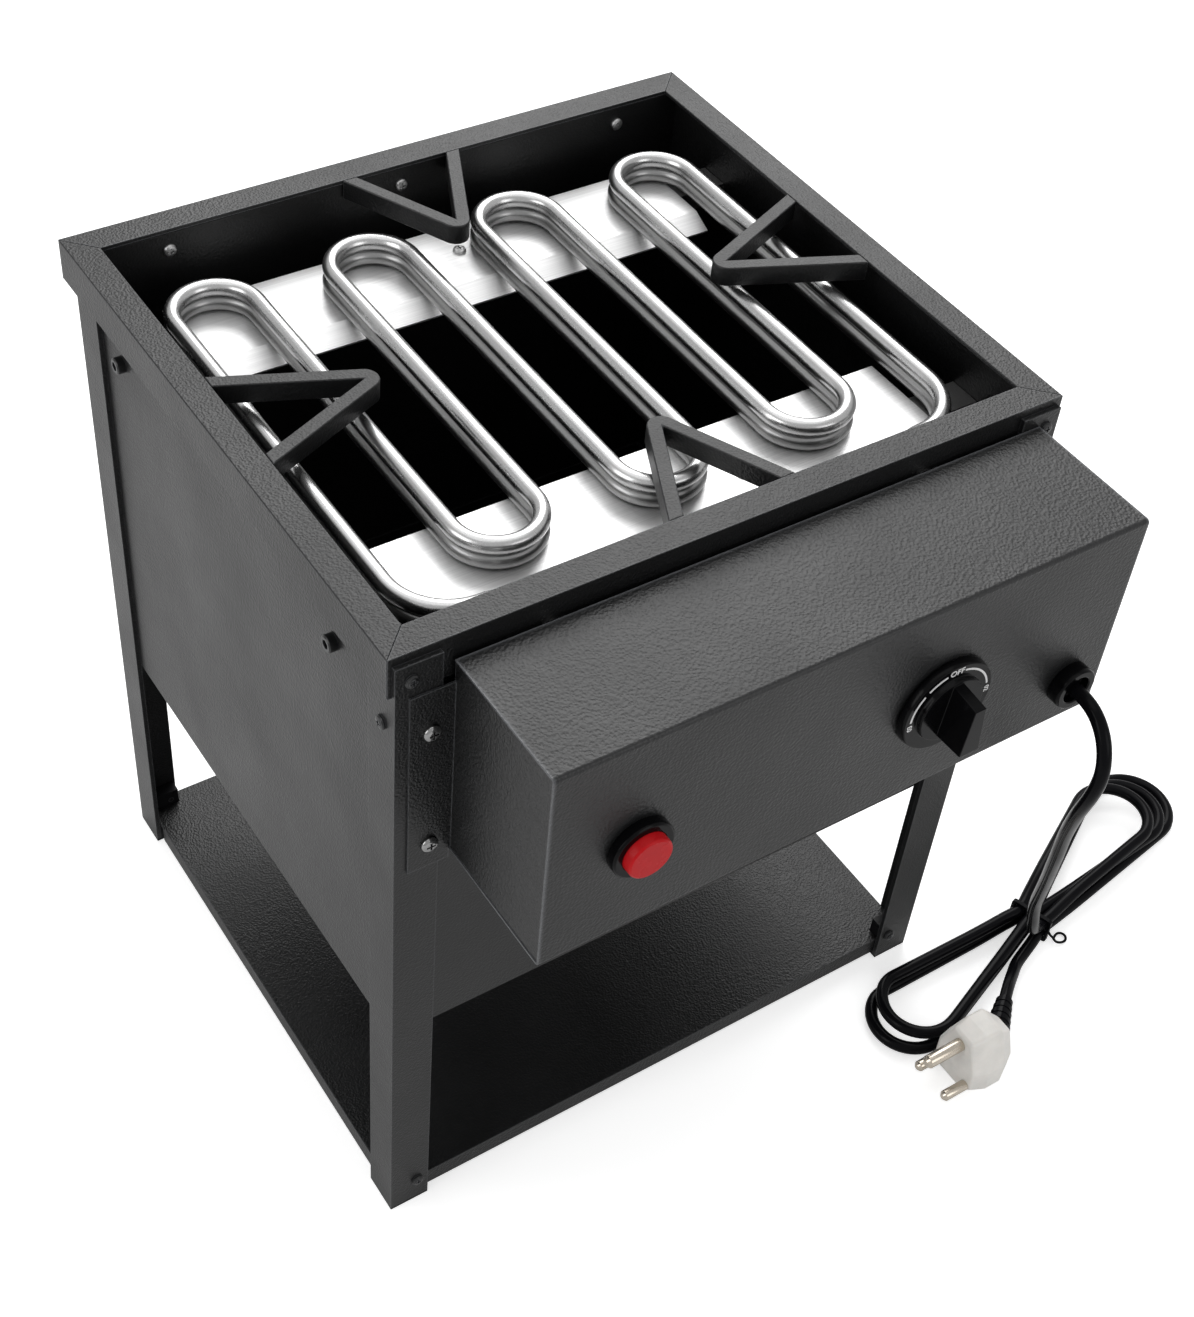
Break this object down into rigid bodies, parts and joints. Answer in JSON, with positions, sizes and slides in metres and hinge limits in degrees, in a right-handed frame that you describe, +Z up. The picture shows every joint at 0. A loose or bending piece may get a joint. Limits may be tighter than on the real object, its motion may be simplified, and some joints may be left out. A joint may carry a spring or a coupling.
{
  "type": "hot plate burner",
  "caption": "Electric hot plate burner on a tall angle-steel stand, with a looped tubular element, V pan rests, front control box, rotary switch and push button",
  "frame": {"origin": "on the floor, under the middle of the appliance's bounding box, the free lead and plug left out", "axes": "+X to the user's right, +Y from the user to the back of the appliance, +Z up"},
  "size_m": [0.647, 0.4954, 0.466],
  "materials": {
    "painted_frame": "textured powder coat",
    "painted_panel": "textured powder coat",
    "element_tube": "satin drawn tube",
    "element_plate": "brushed",
    "zinc_steel": "zinc plated",
    "bright_screw": "polished",
    "black_screw": "satin black",
    "black_plastic": "glossy",
    "red_plastic": "glossy",
    "white_mark": "matte print",
    "switch_plastic": "matte",
    "ceramic": "glazed",
    "brass": "satin",
    "black_rubber": "semi gloss",
    "ivory_plastic": "satin"
  },
  "bodies": {
    "stand": {"rail_front": "painted_frame", "rail_rear": "painted_frame", "rail_left": "painted_frame", "rail_right": "painted_frame", "support_front": "painted_frame", "support_rear": "painted_frame", "support_left": "painted_frame", "support_right": "painted_frame", "leg_front_left": "painted_frame", "leg_front_right": "painted_frame", "leg_rear_left": "painted_frame", "leg_rear_right": "painted_frame", "feet": "black_rubber", "side_panel_left": "painted_panel", "side_panel_right": "painted_panel", "back_panel": "painted_panel", "front_panel": "painted_panel", "floor_pan": "painted_panel", "shelf": "painted_frame", "cross_bar_rear": "zinc_steel", "cross_bar_front": "zinc_steel", "plate_rear": "element_plate", "plate_front": "element_plate", "element_upper": "element_tube", "element_lower": "element_tube", "element_flanges": "zinc_steel", "element_bushes": "ceramic", "element_studs": "brass", "box_shell": "painted_panel", "box_end_left": "painted_panel", "box_end_right": "painted_panel", "box_back": "painted_panel", "switch_body": "switch_plastic", "switch_screws": "zinc_steel", "button_bezel": "black_plastic", "button_nut": "black_plastic", "button_contact": "switch_plastic", "terminal_block": "ceramic", "wiring": "black_rubber", "gland": "black_plastic", "gland_nut": "black_plastic", "corner_screws": "black_screw", "side_screws": "black_screw", "foot_screws": "black_screw", "cross_screws": "black_screw", "back_screws": "zinc_steel", "plate_screws": "zinc_steel", "box_screws": "bright_screw", "cord_lead": "black_rubber", "cord_hank": "black_rubber", "cord_tail": "black_rubber", "cord_tie": "black_rubber", "plug_relief": "black_rubber", "plug_body": "ivory_plastic", "plug_pins": "brass"},
    "knob": {"knob": "black_plastic", "knob_marks": "white_mark", "switch_shaft": "zinc_steel"},
    "button": {"button_cap": "red_plastic"}
  },
  "joints": [
    {"name": "knob_turn", "type": "hinge", "parent": "stand", "child": "knob", "pos_m": [0.065, -0.21025, 0.3855], "axis": [0, 1, 0], "continuous": true},
    {"name": "button_press", "type": "slide", "parent": "stand", "child": "button", "axis": [0, 1, 0], "range_m": [0, 0.004], "stiffness_N_per_m": 300}
  ]
}
